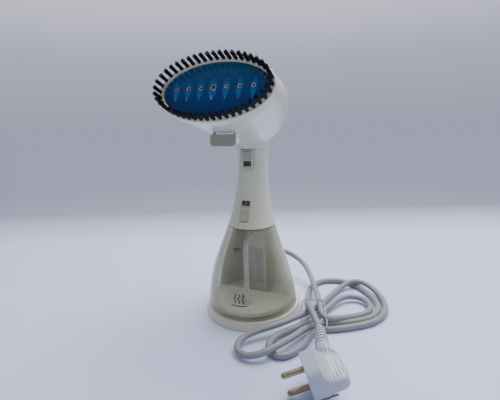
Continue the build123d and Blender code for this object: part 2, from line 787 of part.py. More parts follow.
with BuildPart() as plug_pins:
    with BuildSketch(PLUG_FACE):
        with Locations((0, -PIN_PITCH / 2), (0, PIN_PITCH / 2)):
            Circle(PIN_R)
    extrude(amount=PIN_LENGTH)
    fillet(plug_pins.faces().sort_by(Axis(PLUG_FACE.origin, PLUG_FACE.z_dir))[-2:].edges(), 1.6)
save(plug_pins, "plug_pins")

relief_axis = RELIEF_END - PLUG_NECK
with BuildPart() as plug_relief:
    with BuildSketch(Plane(origin=PLUG_NECK, z_dir=relief_axis)):
        Circle(6.2)
    with BuildSketch(Plane(origin=RELIEF_END, z_dir=relief_axis)):
        Circle(CORD_D / 2 + 0.7)
    loft()
save(plug_relief, "plug_relief")

# ---------------------------------------------------------------- cord
TIE_X = 83.0
TIE_Y = -10.0
HANK_TOP = 12.8
TIE_TOP = 20.0

with BuildPart() as cord_hank:
    with BuildSketch(Plane.XY):
        with BuildLine():
            Spline(
                (60.5, 10.0), (54.0, 36.0), (53.5, 62.0), (62.0, 84.0), (82.0, 97.5),
                (112.0, 95.0), (136.0, 86.5), (149.0, 66.0), (154.0, 40.0), (148.0, 10.0),
                (128.0, -11.0), (104.0, -24.0), (88.0, -34.0), (84.0, -56.0), (72.0, -78.0),
                (54.0, -92.5), (34.0, -97.0), (17.5, -91.0), (20.0, -75.0), (37.0, -59.0),
                (54.0, -44.0), (64.0, -25.0),
                periodic=True,
            )
        make_face()
    extrude(amount=HANK_TOP)
    with BuildSketch(Plane.XY.offset(HANK_TOP - 3.0)):
        with Locations(Location((TIE_X, TIE_Y), 18)):
            Ellipse(19.0, 16.0)
    with BuildSketch(Plane.XY.offset(TIE_TOP)):
        with Locations(Location((TIE_X, TIE_Y), 18)):
            Ellipse(12.0, 11.0)
    loft()
save(cord_hank, "cord_hank")

# from the gland down to the hank
CORD_FALL = [
    (0.0, RELIEF_END_Y, GLAND_Z), (0.5, 66.0, 45.7), (4.5, 78.5, 42.5), (14.0, 88.0, 37.0), (25.5, 91.5, 30.5),
    (37.5, 88.0, 24.5), (47.5, 77.5, 19.5), (55.0, 64.0, 16.0), (61.0, 51.0, 13.5),
]
with BuildPart() as cord_fall:
    add(tube(CORD_FALL, CORD_D, "cord fall"))
save(cord_fall, "cord_fall")

# from the top of the hank to the plug
CORD_LEAD = [
    (69.0, -8.0, 17.5), (73.5, -20.0, 20.0), (79.5, -33.0, 21.3), (86.5, -45.5, 21.5), tuple(RELIEF_END),
]
with BuildPart() as cord_lead:
    add(tube(CORD_LEAD, CORD_D, "cord lead"))
save(cord_lead, "cord_lead")

# thin clear tie over the middle of the hank
TIE_PLANE = Plane(origin=(TIE_X, TIE_Y, 0), x_dir=(-0.3, 0.954, 0), z_dir=(0.954, 0.3, 0))
TIE_LINE = [(-21.5, 1.0), (-21.2, 13.0), (-12.0, 22.2), (12.0, 22.2), (21.2, 13.0), (21.5, 1.0)]
TIE_BACK = [(20.5, 1.0), (20.2, 12.6), (11.6, 21.2), (-11.6, 21.2), (-20.2, 12.6), (-20.5, 1.0)]
with BuildPart() as cord_tie:
    with BuildSketch(TIE_PLANE):
        with BuildLine():
            Polyline(*TIE_LINE, *TIE_BACK, close=True)
        make_face()
    extrude(amount=0.6, both=True)
save(cord_tie, "cord_tie")
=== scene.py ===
import json
import math
import random

import bmesh
import bpy
from mathutils import Matrix, Vector
from mathutils.bvhtree import BVHTree


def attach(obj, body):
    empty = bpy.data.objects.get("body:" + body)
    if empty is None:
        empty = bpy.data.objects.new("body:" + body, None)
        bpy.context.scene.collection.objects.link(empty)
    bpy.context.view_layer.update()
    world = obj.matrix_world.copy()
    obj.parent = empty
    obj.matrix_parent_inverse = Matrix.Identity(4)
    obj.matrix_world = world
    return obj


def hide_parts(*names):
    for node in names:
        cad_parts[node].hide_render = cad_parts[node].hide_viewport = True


# Garment steamer standing on a table with its cord in a tied hank. Metres, +Z up, front at -Y.

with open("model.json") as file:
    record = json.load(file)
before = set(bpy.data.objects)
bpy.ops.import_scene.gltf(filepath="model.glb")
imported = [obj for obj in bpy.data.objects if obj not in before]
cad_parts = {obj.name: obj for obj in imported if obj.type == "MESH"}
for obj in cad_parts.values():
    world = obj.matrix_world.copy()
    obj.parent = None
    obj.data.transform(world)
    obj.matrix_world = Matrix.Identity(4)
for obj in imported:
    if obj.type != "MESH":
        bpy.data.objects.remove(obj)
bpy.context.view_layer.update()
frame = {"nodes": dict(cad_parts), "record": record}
MM = 0.001

# ------------------------------------------------------------------ camera
HEADING = math.radians(23.48)     # the camera looks along +Y turned left by this angle
PITCH = math.radians(12.77)       # and down by this angle
ROLL = math.radians(-1.51)
CAMERA_PLACE = Vector((151.9, -353.8, 217.4)) * MM
LENS_MM = 24.87
SENSOR_MM = 36.0
CLIP_NEAR, CLIP_FAR = 0.01, 50.0

forward = Vector((-math.sin(HEADING) * math.cos(PITCH),
                  math.cos(HEADING) * math.cos(PITCH), -math.sin(PITCH)))
level_right = Vector((math.cos(HEADING), math.sin(HEADING), 0.0))
level_up = level_right.cross(forward)
camera_right = level_right * math.cos(ROLL) + level_up * math.sin(ROLL)
camera_up = level_up * math.cos(ROLL) - level_right * math.sin(ROLL)

camera_data = bpy.data.cameras.new("camera")
camera_data.lens = LENS_MM
camera_data.sensor_width = SENSOR_MM
camera_data.clip_start = CLIP_NEAR
camera_data.clip_end = CLIP_FAR
camera = bpy.data.objects.new("camera", camera_data)
turn = Matrix((camera_right, camera_up, -forward)).transposed()
camera.matrix_world = Matrix.Translation(CAMERA_PLACE) @ turn.to_4x4()
bpy.context.scene.collection.objects.link(camera)
bpy.context.scene.camera = camera

# ------------------------------------------------------------------ cord route, in millimetres
CORD_D = 6.6
CORD_EXIT = (0.0, 57.0, 46.0)
CORD_ROUTE = [
    # out of the gland, down in an arc and over the tie
    (0, 51, 46), (0, 57, 46), (0.5, 66, 45.7), (4.5, 78.5, 42.5), (14, 88, 37), (25.5, 91.5, 30.5),
    (37.5, 88, 24.5), (47.5, 77.5, 19.5), (55, 64, 16), (61.5, 50.5, 13.8), (68, 36, 13.3), (74, 20, 13.6),
    (79, 5, 14.3), (83, -7, 14.3),
    # inner right loop
    (86.5, -17, 13.3), (92, -22.5, 13), (101, -17, 11.5), (110, -8, 9.5), (119.5, 1, 8), (129, 12, 6.5),
    (133.5, 25, 5.5), (131.5, 37, 5.5), (124, 46, 5.5), (113, 48.5, 6), (102.5, 42, 7), (95, 31, 7),
    (89, 17, 5.5), (83.5, 3, 4), (77, -12, 3.5), (70, -26, 3.5), (62, -37.5, 3.5), (54, -48, 3.5),
    # inner left loop
    (48, -58, 3.5), (45, -69, 3.5), (48, -80, 3.5), (57, -87, 3.5), (66, -84, 3.5), (73, -74.5, 3.5),
    (77.5, -62, 3.5), (79.5, -49, 3.5), (82, -37, 3.5), (89, -29.5, 3.5),
    # outer right loop
    (99, -25.5, 3.5), (111, -18.5, 3.5), (125, -9, 3.5), (137, 2, 3.5), (145, 15, 3.5), (149, 30, 3.5),
    (148, 46, 3.7), (142.5, 62, 4.5), (133, 74.5, 7), (123, 81.5, 9.3), (112.5, 84.5, 10), (102.5, 81, 8.5),
    (94, 71, 5), (88, 56, 3.6), (83, 39, 3.5), (79, 22, 4),
    # outer left loop
    (76, 6, 7), (72, -7, 9), (67, -19, 10.8), (61, -30.5, 12), (54, -41, 12), (46, -50.5, 11.5),
    (38, -58.5, 11), (30, -66, 10), (22.5, -74, 8.5), (18, -84, 6.5), (21, -94, 5), (31, -99.5, 5.3),
    (41, -98, 7), (50, -91.5, 9), (57, -81.5, 10), (62.5, -70, 9.5), (67.5, -58, 8.5), (72, -45, 7.5),
    (77, -34, 7),
    # middle right loop and the back strand
    (86, -25.5, 7), (96, -20.5, 7), (106, -15, 6.2), (118.5, -6, 5.2), (130, 4, 4.5), (138.5, 16, 4.2),
    (141.5, 30, 4), (139.5, 45, 3.8), (133, 59, 3.5), (124, 71.5, 3.5), (114, 81.5, 3.5), (104, 87.5, 3.5),
    (93, 90.5, 3.5), (81, 89.5, 3.5), (69, 84, 3.5), (61, 74, 3.5), (56.5, 59, 3.5), (57.5, 42, 3.5),
    (60.5, 25, 4.2),
    # up over the hank to the plug
    (63.5, 11, 8), (66.5, -1, 14.5), (71, -14, 19), (77.5, -27, 21), (84.5, -41, 21.5), (90.5, -53, 21.5),
    (93.2, -60, 22.3),
]


# ------------------------------------------------------------------ mesh helpers
def turned_axes(x_axis, y_axis, z_axis):
    """Rotation to a local frame with these axes."""
    return Matrix((x_axis, y_axis, z_axis)).transposed().to_4x4()


def place(origin, x_axis, y_axis, z_axis):
    """Matrix of a local frame whose units are millimetres."""
    return Matrix.Translation(origin) @ turned_axes(x_axis, y_axis, z_axis) @ Matrix.Scale(MM, 4)


def along(start, end):
    """Frame at start whose z axis points to end, in the units of start and end."""
    z_axis = (Vector(end) - Vector(start)).normalized()
    x_axis = Vector((0, 0, 1)).cross(z_axis).normalized()
    return Matrix.Translation(Vector(start)) @ turned_axes(x_axis, z_axis.cross(x_axis), z_axis)


WORLD_MM = Matrix.Scale(MM, 4)

# face of the head: x to the side, y up the tilted face, z out of it
FACE_TILT = math.radians(24.0)
FACE_ORIGIN = Vector((0.0, -75.5, 245.0)) * MM
FACE_Z = Vector((0.0, -math.cos(FACE_TILT), math.sin(FACE_TILT)))
FACE_Y = Vector((0.0, math.sin(FACE_TILT), math.cos(FACE_TILT)))
FACE = place(FACE_ORIGIN, Vector((1.0, 0.0, 0.0)), FACE_Y, FACE_Z)

# face of the plug: x towards the cord, z along the pins
PLUG_ORIGIN = Vector((95.8, -120.8, 18.0)) * MM
PLUG_Z = Vector((-0.843, -0.454, -0.288)).normalized()
PLUG_X = Vector((-0.498, 0.861, 0.100))
PLUG_X = (PLUG_X - PLUG_Z * PLUG_X.dot(PLUG_Z)).normalized()
PLUG = place(PLUG_ORIGIN, PLUG_X, PLUG_Z.cross(PLUG_X), PLUG_Z)


def add_mesh(name, points, faces, matrix=WORLD_MM, smooth=True, sharp_angle=40.0):
    """Mesh object from points in a local frame, in millimetres."""
    mesh = bpy.data.meshes.new(name)
    mesh.from_pydata([matrix @ Vector(p) for p in points], [], faces)
    mesh.validate()
    mesh_edit = bmesh.new()
    mesh_edit.from_mesh(mesh)
    bmesh.ops.recalc_face_normals(mesh_edit, faces=mesh_edit.faces)
    mesh_edit.to_mesh(mesh)
    mesh_edit.free()
    if smooth:
        mesh.shade_smooth()
        mesh.set_sharp_from_angle(angle=math.radians(sharp_angle))
    piece = bpy.data.objects.new(name, mesh)
    bpy.context.scene.collection.objects.link(piece)
    return piece


def loft_faces(rows, count, first=0):
    """Quads between rows of count points each, the ends closed."""
    faces = []
    for row in range(rows - 1):
        a = first + row * count
        for i in range(count):
            j = (i + 1) % count
            faces.append((a + i, a + j, a + count + j, a + count + i))
    faces.append(tuple(first + i for i in reversed(range(count))))
    faces.append(tuple(first + (rows - 1) * count + i for i in range(count)))
    return faces


def turns(count):
    """Angles of count even steps round a circle."""
    return [2 * math.pi * i / count for i in range(count)]


def superellipse(a, b, power, t):
    """Point of an outline at angle t: power 2 is an ellipse, and higher is boxier."""
    c, s = math.cos(t), math.sin(t)
    return a * math.copysign(abs(c) ** (2 / power), c), b * math.copysign(abs(s) ** (2 / power), s)


def rounded_ring(a, b, power, count):
    """Superellipse outline of count points."""
    return [superellipse(a, b, power, t) for t in turns(count)]


def lathe(profile, count):
    """Points and faces of a profile of (radius, height) turned about the local z axis."""
    points = [(radius * math.cos(t), radius * math.sin(t), height)
              for radius, height in profile for t in turns(count)]
    return points, loft_faces(len(profile), count)


def path_direction(path, i):
    """Direction of a path at its point i."""
    before, after = Vector(path[max(0, i - 1)]), Vector(path[min(len(path) - 1, i + 1)])
    return (after - before).normalized()


def smooth_step(low, high, value):
    """0 below low, 1 above high, and an even curve between them."""
    t = min(1.0, max(0.0, (value - low) / (high - low)))
    return t * t * (3 - 2 * t)


def join(parts):
    """One list of points and faces from several (points, faces, matrix or None)."""
    points, faces = [], []
    for part_points, part_faces, matrix in parts:
        first = len(points)
        points += [tuple(matrix @ Vector(p)) if matrix else p for p in part_points]
        faces += [tuple(first + i for i in face) for face in part_faces]
    return points, faces


# ------------------------------------------------------------------ material helpers
NOISE_LOW, NOISE_HIGH = 0.3, 0.7                          # most of a noise texture lies between these
MIX_FACTOR, MIX_FIRST, MIX_SECOND, MIX_OUT = 0, 6, 7, 2   # colour sockets of the mix node
PLASTIC_IOR = 1.49


class Graph:
    """Node graph that ends in one shader, its textures placed by one set of coordinates."""

    def __init__(self, tree, shader, coordinates):
        self.tree = tree
        self.shader = tree.nodes[shader]
        self.place = self.node("ShaderNodeTexCoord").outputs[coordinates]

    def node(self, kind, **values):
        made = self.tree.nodes.new(kind)
        for key, value in values.items():
            setattr(made, key, value)
        return made

    def link(self, out, socket):
        self.tree.links.new(out, socket)

    def feed(self, socket, value):
        """Number, colour or link into a socket."""
        if isinstance(value, (int, float)):
            socket.default_value = value
        elif isinstance(value, tuple):
            socket.default_value = (*value, 1.0)
        else:
            self.link(value, socket)

    def set(self, **values):
        """Sockets of the shader, by name with underscores for spaces."""
        for key, value in values.items():
            self.feed(self.shader.inputs[key.replace("_", " ")], value)

    def noise(self, scale, detail=3.0, roughness=0.5, stretch=None):
        """Noise with scale cells to a metre."""
        made = self.node("ShaderNodeTexNoise")
        made.inputs["Scale"].default_value = scale
        made.inputs["Detail"].default_value = detail
        made.inputs["Roughness"].default_value = roughness
        source = self.place
        if stretch:
            mapping = self.node("ShaderNodeMapping")
            mapping.inputs["Scale"].default_value = stretch
            self.link(self.place, mapping.inputs["Vector"])
            source = mapping.outputs["Vector"]
        self.link(source, made.inputs["Vector"])
        return made.outputs["Fac"]

    def ramp(self, value, stops):
        """Colours from (position, colour) stops in rising order."""
        made = self.node("ShaderNodeValToRGB")
        elements = made.color_ramp.elements
        for index, (position, colour) in ((0, stops[0]), (1, stops[-1])):
            elements[index].position = position
            elements[index].color = (*colour, 1.0)
        for position, colour in stops[1:-1]:
            elements.new(position).color = (*colour, 1.0)
        self.link(value, made.inputs["Fac"])
        return made.outputs["Color"]

    def tones(self, noise, dark, light):
        """Two colours spread over a noise texture."""
        return self.ramp(noise, [(NOISE_LOW, dark), (NOISE_HIGH, light)])

    def remap(self, value, low, high, out_low, out_high):
        made = self.node("ShaderNodeMapRange")
        limits = {"From Min": low, "From Max": high, "To Min": out_low, "To Max": out_high}
        for socket, number in limits.items():
            made.inputs[socket].default_value = number
        self.link(value, made.inputs["Value"])
        return made.outputs["Result"]

    def spread(self, noise, low, high):
        """Two numbers spread over a noise texture."""
        return self.remap(noise, NOISE_LOW, NOISE_HIGH, low, high)

    def mix(self, factor, first, second):
        made = self.node("ShaderNodeMix", data_type="RGBA")
        for index, value in ((MIX_FACTOR, factor), (MIX_FIRST, first), (MIX_SECOND, second)):
            self.feed(made.inputs[index], value)
        return made.outputs[MIX_OUT]

    def calculate(self, operation, *values):
        made = self.node("ShaderNodeMath", operation=operation)
        for socket, value in zip(made.inputs, values):
            self.feed(socket, value)
        return made.outputs[0]

    def coordinate(self, axis):
        """X, Y or Z of each point."""
        made = self.node("ShaderNodeSeparateXYZ")
        self.link(self.place, made.inputs["Vector"])
        return made.outputs[axis]

    def reach(self, direction):
        """How far each point lies along a direction."""
        made = self.node("ShaderNodeVectorMath", operation="DOT_PRODUCT")
        self.link(self.place, made.inputs[0])
        made.inputs[1].default_value = direction
        return made.outputs["Value"]

    def bump(self, height, strength, distance, below=None):
        made = self.node("ShaderNodeBump")
        made.inputs["Strength"].default_value = strength
        made.inputs["Distance"].default_value = distance
        self.link(height, made.inputs["Height"])
        if below is not None:
            self.link(below, made.inputs["Normal"])
        return made.outputs["Normal"]


def new_material(name):
    """Material and its graph, in the object's own coordinates."""
    material = bpy.data.materials.new(name)
    material.use_nodes = True
    return material, Graph(material.node_tree, "Principled BSDF", "Object")


def tint(colour, factor):
    """Colour made lighter or darker by a factor."""
    return tuple(min(1.0, channel * factor) for channel in colour)


def moulded(name, colour, rough=0.35, spread=0.06, grain=900.0, grain_depth=0.03, mottle=0.018, sink=0.02,
            **extra):
    """Moulded plastic: faint mottling, uneven gloss, a fine surface grain and slight sink waves."""
    material, graph = new_material(name)
    patches = graph.noise(38.0, 4.0, 0.6)
    specks = graph.remap(graph.noise(420.0, 2.0), 0.6, 0.85, 0.0, 0.08)
    broad = graph.tones(patches, tint(colour, 1 - mottle), tint(colour, 1 + mottle * 0.6))
    base = graph.mix(specks, broad, tint(colour, 1 - 1.6 * mottle))
    gloss = graph.spread(graph.noise(120.0, 5.0, 0.65), rough - spread, rough + spread)
    waves = graph.bump(graph.noise(26.0, 1.0), sink, 0.002)
    fine = graph.bump(graph.noise(grain, 3.0), grain_depth, 0.0004, waves)
    graph.set(Base_Color=base, Roughness=gloss, Normal=fine, IOR=PLASTIC_IOR, **extra)
    return material


def metal(name, colour, rough=0.28, brushed=None, stain=0.12):
    """Bare metal with brushed or cast unevenness."""
    material, graph = new_material(name)
    patches = graph.noise(180.0, 5.0, 0.6)
    base = graph.ramp(patches, [(0.25, tint(colour, 1 - stain)), (0.75, colour)])
    streaks = graph.noise(700.0, 4.0, 0.6, stretch=brushed)
    gloss = graph.spread(streaks, rough * 0.7, rough * 1.4)
    graph.set(Base_Color=base, Metallic=1.0, Roughness=gloss, Normal=graph.bump(streaks, 0.08, 0.0003))
    return material


def film(name, colour, face_alpha, edge_alpha, rough=0.12):
    """Thin translucent plastic, milkier where it is seen edge on."""
    material, graph = new_material(name)
    base = graph.tones(graph.noise(30.0, 3.0), tint(colour, 0.96), colour)
    weight = graph.node("ShaderNodeLayerWeight")
    weight.inputs["Blend"].default_value = 0.35
    edge = graph.remap(weight.outputs["Facing"], 0.10, 0.80, face_alpha, edge_alpha)
    clouded = graph.spread(graph.noise(55.0, 4.0), -0.03, 0.03)
    gloss = graph.spread(graph.noise(90.0, 4.0), rough * 0.6, rough * 1.5)
    waves = graph.bump(graph.noise(45.0, 2.0), 0.04, 0.002)
    graph.set(Base_Color=base, Roughness=gloss, Normal=waves, IOR=PLASTIC_IOR,
              Alpha=graph.calculate("ADD", edge, clouded))
    return material


def coated(name, low, middle, high):
    """Glossy coating of the plate, its colour changing up the plate as painted reflection, with fine pits and
    scuffs.
    """
    material, graph = new_material(name)
    height = graph.remap(graph.coordinate("Z"), 0.222, 0.268, 0.0, 1.0)
    # painted reflection: the colour follows the height up the plate, lighter or darker where reflections of
    # the room would fall
    painted_reflection = graph.ramp(height, [(0.0, low), (0.45, middle), (1.0, high)])
    clouds = graph.noise(70.0, 5.0, 0.6)
    base = graph.mix(graph.remap(clouds, 0.3, 0.75, 0.0, 0.25), painted_reflection, tint(high, 0.9))
    gloss = graph.remap(graph.noise(260.0, 5.0, 0.65), 0.3, 0.75, 0.10, 0.22)
    waves = graph.bump(graph.noise(60.0, 2.0), 0.05, 0.001)
    fine = graph.bump(graph.noise(1500.0, 3.0), 0.05, 0.0003, waves)
    graph.set(Base_Color=base, Roughness=gloss, Normal=fine, IOR=1.36,
              Coat_Weight=0.12, Coat_Roughness=0.05)
    return material


def fibres(name, dark, light):
    """Dull dark nylon, a little lighter in places."""
    material, graph = new_material(name)
    strands = graph.noise(2600.0, 2.0)
    gloss = graph.spread(graph.noise(900.0, 3.0), 0.45, 0.75)
    graph.set(Base_Color=graph.tones(strands, dark, light), Roughness=gloss,
              Normal=graph.bump(strands, 0.15, 0.0002), IOR=1.3)
    return material


def barred(name, dark, light, ink):
    """Label film with plain bars in the place of its printing."""
    material, graph = new_material(name)
    waves = graph.calculate("SINE", graph.remap(graph.coordinate("X"), 0.0, 1.0, 0.0, 2300.0))
    bars = graph.remap(waves, 0.25, 0.4, 0.0, 1.0)
    gaps = graph.remap(graph.noise(160.0, 1.0), 0.38, 0.42, 0.0, 1.0)
    ground = graph.tones(graph.noise(60.0, 3.0), dark, light)
    base = graph.mix(graph.calculate("MULTIPLY", bars, gaps), ground, ink)
    graph.set(Base_Color=base, Roughness=graph.spread(graph.noise(300.0), 0.35, 0.5))
    return material


# ------------------------------------------------------------------ materials, most of them by slot
MATERIALS = {
    "body_plastic": moulded("body_plastic", (0.62, 0.625, 0.49), rough=0.30, grain_depth=0.012, sink=0.012,
                            Coat_Weight=0.45, Coat_Roughness=0.06),
    "base_plastic": moulded("base_plastic", (0.68, 0.67, 0.56), rough=0.32, Coat_Weight=0.2,
                            Coat_Roughness=0.15),
    "trim_plastic": moulded("trim_plastic", (0.50, 0.49, 0.355), rough=0.36, mottle=0.05),
    "tab_plastic": moulded("tab_plastic", (0.29, 0.28, 0.19), rough=0.42, grain_depth=0.06),
    "inner_plastic": moulded("inner_plastic", (0.13, 0.125, 0.09), rough=0.55, grain_depth=0.08),
    "tank_clear": film("tank_clear", (0.56, 0.55, 0.40), 0.16, 0.78),
    "tube_clear": film("tube_clear", (0.78, 0.78, 0.70), 0.40, 0.80, rough=0.2),
    "tank_floor": moulded("tank_floor", (0.86, 0.85, 0.70), rough=0.35, mottle=0.03),
    "eyelet_metal": metal("eyelet_metal", (0.50, 0.50, 0.50), rough=0.22),
    "seal_rubber": moulded("seal_rubber", (0.045, 0.045, 0.045), rough=0.7, grain_depth=0.12, mottle=0.15),
    "cast_aluminium": metal("cast_aluminium", (0.52, 0.53, 0.55), rough=0.5, stain=0.2),
    "steel": metal("steel", (0.55, 0.55, 0.56), rough=0.3, brushed=(1.0, 1.0, 0.1)),
    "copper_coil": metal("copper_coil", (0.62, 0.30, 0.16), rough=0.35, brushed=(0.2, 0.2, 4.0)),
    "hose_silicone": moulded("hose_silicone", (0.62, 0.63, 0.60), rough=0.45, Transmission_Weight=0.35),
    "board": moulded("board", (0.03, 0.16, 0.06), rough=0.4, mottle=0.25),
    "wire_brown": moulded("wire_brown", (0.16, 0.07, 0.035), rough=0.45, mottle=0.1),
    "cord_sheath": moulded("cord_sheath", (0.245, 0.255, 0.275), rough=0.47, spread=0.08, grain=1400.0,
                           grain_depth=0.07, mottle=0.07, Coat_Weight=0.08, Coat_Roughness=0.35),
    "tie_clear": film("tie_clear", (0.62, 0.63, 0.65), 0.45, 0.9, rough=0.12),
    "plug_plastic": moulded("plug_plastic", (0.40, 0.45, 0.52), rough=0.30, mottle=0.05, sink=0.03,
                            Coat_Weight=0.2, Coat_Roughness=0.15),
    "pin_metal": metal("pin_metal", (0.40, 0.33, 0.23), rough=0.15, brushed=(1.0, 1.0, 1.0), stain=0.25),
    # both plate colours hold painted reflection: the plate grows lighter teal towards its top, and the dimples
    # are bright in their lower halves and dark in their upper halves
    "blue_plate": coated("blue_plate", (0.0, 0.030, 0.150), (0.0, 0.050, 0.185), (0.0, 0.072, 0.160)),
    "dimple_blue": coated("dimple_blue", (0.0, 0.240, 0.620), (0.0, 0.170, 0.480), (0.0, 0.030, 0.110)),
    "bristle": fibres("bristle", (0.004, 0.005, 0.007), (0.020, 0.022, 0.028)),
    "label_film": barred("label_film", (0.26, 0.31, 0.36), (0.31, 0.36, 0.41), (0.09, 0.10, 0.12)),
}

for subpart in frame["record"]["subparts"]:
    node = frame["nodes"][subpart["node"]]
    node.data.materials.clear()
    node.data.materials.append(MATERIALS[subpart["material_slot"]])


def finish_piece(piece, body, slot, material=None):
    """Material, slot and body of a new piece."""
    piece.data.materials.append(material or MATERIALS[slot])
    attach(piece, body)
    return piece


# ------------------------------------------------------------------ plug
# height off the face, half width towards and away from the cord, half width across, outline powers
PLUG_ROWS = [
    (0.0, 17.6, 17.6, 17.6, 2.5, 4.2), (-0.5, 18.1, 18.1, 18.1, 2.5, 4.4),
    (-11.4, 18.1, 18.2, 18.0, 2.5, 4.4), (-12.2, 17.9, 18.2, 17.0, 2.5, 4.2),
    (-14.0, 17.2, 18.2, 13.2, 2.6, 4.0), (-16.5, 16.6, 18.2, 9.8, 2.9, 4.0),
    (-18.5, 16.0, 18.2, 8.0, 3.3, 4.2), (-21.0, 15.6, 18.4, 7.2, 4.0, 4.4),
    (-26.0, 14.8, 18.0, 6.6, 4.4, 4.4), (-28.8, 13.8, 17.0, 6.1, 4.0, 4.0),
    (-30.3, 12.6, 15.6, 5.2, 3.4, 3.4), (-30.9, 11.2, 14.0, 4.0, 3.0, 3.0),
]
PLUG_RING = 96
points = []
for z, a_cord, a_free, b, power, corner_power in PLUG_ROWS:
    for i in range(PLUG_RING):
        t = 2 * math.pi * (i + 0.5) / PLUG_RING
        a = a_cord if math.cos(t) > 0 else a_free
        free_corner = math.cos(t) < 0 and math.sin(t) < 0
        points.append((*superellipse(a, b, corner_power if free_corner else power, t), z))
parts = [(points, loft_faces(len(PLUG_ROWS), PLUG_RING), None)]

# neck towards the cord: x, half width, half height
SPINE_Z = -21.6
NECK_ROWS = [(8.0, 5.2, 6.8), (16.0, 5.6, 6.6), (21.0, 5.7, 6.2), (24.5, 5.5, 5.8), (26.5, 5.0, 5.2)]
NECK_RING = 40
neck = [(x, y, SPINE_Z + z) for x, half_y, half_z in NECK_ROWS
        for y, z in rounded_ring(half_y, half_z, 3.2, NECK_RING)]
parts.append((neck, loft_faces(len(NECK_ROWS), NECK_RING), None))

# fine grip ridges along both sides of the spine: z, distance from its middle, low and high x
RIDGES = [(-19.8, 7.35, -15.5, 20.0), (-22.6, 7.0, -15.0, 19.0), (-25.4, 6.65, -13.5, 17.0)]
RIDGE_RING = 12
for side in (-1, 1):
    for z, y, low, high in RIDGES:
        ridge = []
        stations = [(low, 0.3), (low + 1.5, 0.9), (low + 3.0, 1.0), (high - 3.0, 1.0), (high, 0.3)]
        for x, share in stations:
            middle_y = side * (y - 0.9 * smooth_step(9.0, 18.0, x))
            ridge += [(x, middle_y + v * share, z + w * share)
                      for v, w in rounded_ring(0.42, 0.5, 2.2, RIDGE_RING)]
        parts.append((ridge, loft_faces(len(stations), RIDGE_RING), None))
plug_body = add_mesh("plug_shell", *join(parts), matrix=PLUG, sharp_angle=36.0)
finish_piece(plug_body, "steamer", "plug_plastic")
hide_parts("plug_body")

STRIP_RING = 24
STRIP_RAISE = 0.06


def shaded_groove_strip(start, end, across, half_width, out, depth):
    """Capsule-shaped dark strip of painted groove shade between two points, standing barely proud along out.
    """
    start, end = Vector(start), Vector(end)
    across, out = Vector(across).normalized(), Vector(out).normalized()
    run = (end - start).normalized()
    ring = []
    for t in turns(STRIP_RING):
        centre = end if math.cos(t) > 0 else start
        ring.append(centre + run * (half_width * math.cos(t)) + across * (half_width * math.sin(t)))
    rows = [tuple(p - out * depth) for p in ring] + [tuple(p + out * STRIP_RAISE) for p in ring]
    return rows, loft_faces(2, STRIP_RING), None


# painted shade: dark strips on the plug where its two grooves and the edge line along its spine fall into
# shadow
groove_shade = add_mesh("plug_groove_shade", *join([
    shaded_groove_strip((-3.4, -17.95, -1.0), (-3.4, -17.95, -7.5), (1, 0, 0), 0.65, (0, -1, 0), 0.5),
    shaded_groove_strip((-18.0, 6.2, -2.2), (-18.0, 6.2, -18.0), (0, 1, 0), 0.85, (-1, 0.10, 0), 0.5),
    shaded_groove_strip((12.0, -6.15, -27.2), (-11.0, -6.15, -27.9), (0, 0, 1), 0.35, (0, -1, 0), 0.6),
]), matrix=PLUG)
finish_piece(groove_shade, "steamer", "inner_plastic")

# pins with fine rings along them
PIN_R = 2.4
PIN_HALF_PITCH = 9.5
PIN_GROOVE_R = 2.30
PIN_RINGS, PIN_RING_PITCH, FIRST_PIN_RING = 13, 1.18, 1.0
pin_profile = [(PIN_R, -2.0), (PIN_R, 0.5)]
for ring_index in range(PIN_RINGS):
    height = FIRST_PIN_RING + PIN_RING_PITCH * ring_index
    pin_profile += [(PIN_R, height), (PIN_R, height + 0.45),
                    (PIN_GROOVE_R, height + 0.75), (PIN_GROOVE_R, height + 0.95)]
pin_profile += [(2.38, 16.6), (2.3, 17.3), (2.0, 18.2), (1.3, 18.85), (0.4, 19.0)]
pin_parts = [(*lathe(pin_profile, 32), Matrix.Translation((0, y, 0)))
             for y in (-PIN_HALF_PITCH, PIN_HALF_PITCH)]
plug_pins = add_mesh("plug_contacts", *join(pin_parts), matrix=PLUG)
finish_piece(plug_pins, "steamer", "pin_metal")
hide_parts("plug_pins")

# ------------------------------------------------------------------ strain relief and cord sleeve
SLEEVE_RING = 36
NECK_END = tuple((PLUG @ Vector((24.5, 0.0, SPINE_Z))) / MM)
RELIEF_END = (92.0, -56.0, 21.5)
RIBS = 5
RIB_R, RIB_TAPER = 6.3, 1.5                  # radius at the plug, and how much it falls by the cord
RIB_DEPTH = 2.0
COLLAR_LENGTH = 3.8                          # plain length at the plug
PLAIN_LENGTH = 6.5                           # at both ends together
relief_length = (Vector(RELIEF_END) - Vector(NECK_END)).length
pitch = (relief_length - PLAIN_LENGTH) / RIBS
relief_profile = [(5.2, 0.0), (6.2, 0.4), (6.2, 3.4)]
for rib in range(RIBS):
    start = COLLAR_LENGTH + rib * pitch
    outer = RIB_R - RIB_TAPER * (rib + 0.5) / RIBS
    relief_profile += [(outer - RIB_DEPTH, start), (outer - RIB_DEPTH, start + pitch * 0.36),
                       (outer - 0.1, start + pitch * 0.42), (outer, start + pitch * 0.5),
                       (outer - 0.15, start + pitch * 0.93), (outer - RIB_DEPTH, start + pitch)]
relief_profile += [(4.0, relief_length - 2.4), (3.9, relief_length - 0.3), (3.3, relief_length)]
plug_relief = add_mesh("plug_strain_relief", *lathe(relief_profile, SLEEVE_RING),
                       matrix=WORLD_MM @ along(NECK_END, RELIEF_END))
finish_piece(plug_relief, "steamer", "plug_plastic")
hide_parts("plug_relief")

